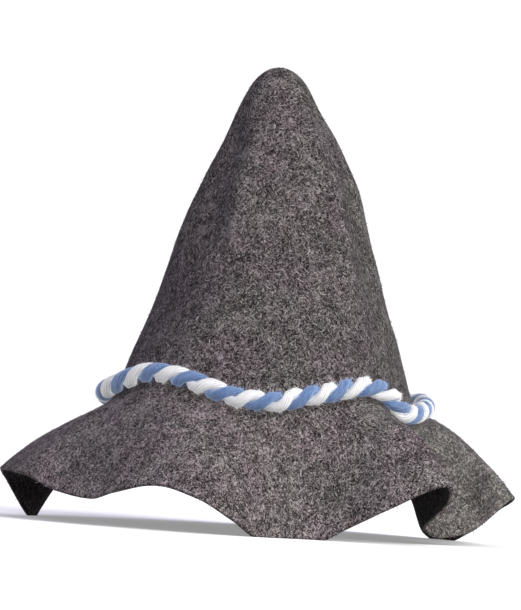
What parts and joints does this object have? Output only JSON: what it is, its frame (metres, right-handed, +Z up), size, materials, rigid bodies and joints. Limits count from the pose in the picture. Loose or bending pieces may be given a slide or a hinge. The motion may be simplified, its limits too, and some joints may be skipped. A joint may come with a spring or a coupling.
{
  "type": "tyrolean hat",
  "caption": "Pointed felt hat with a soft cone and a wavy drooping brim, worn on the head, with a twisted cord round the foot of the cone.",
  "frame": {"origin": "middle of the footprint, on the surface that the brim rests on", "axes": "+Z up through the tip, -Y the front, +X to the right as seen from the front"},
  "size_m": [0.2845, 0.2994, 0.26],
  "materials": {
    "felt": "fibrous",
    "white_yarn": "soft",
    "blue_yarn": "soft"
  },
  "bodies": {
    "root": {"felt_body": "felt", "white_yarn": "white_yarn", "blue_yarn": "blue_yarn"}
  },
  "joints": []
}
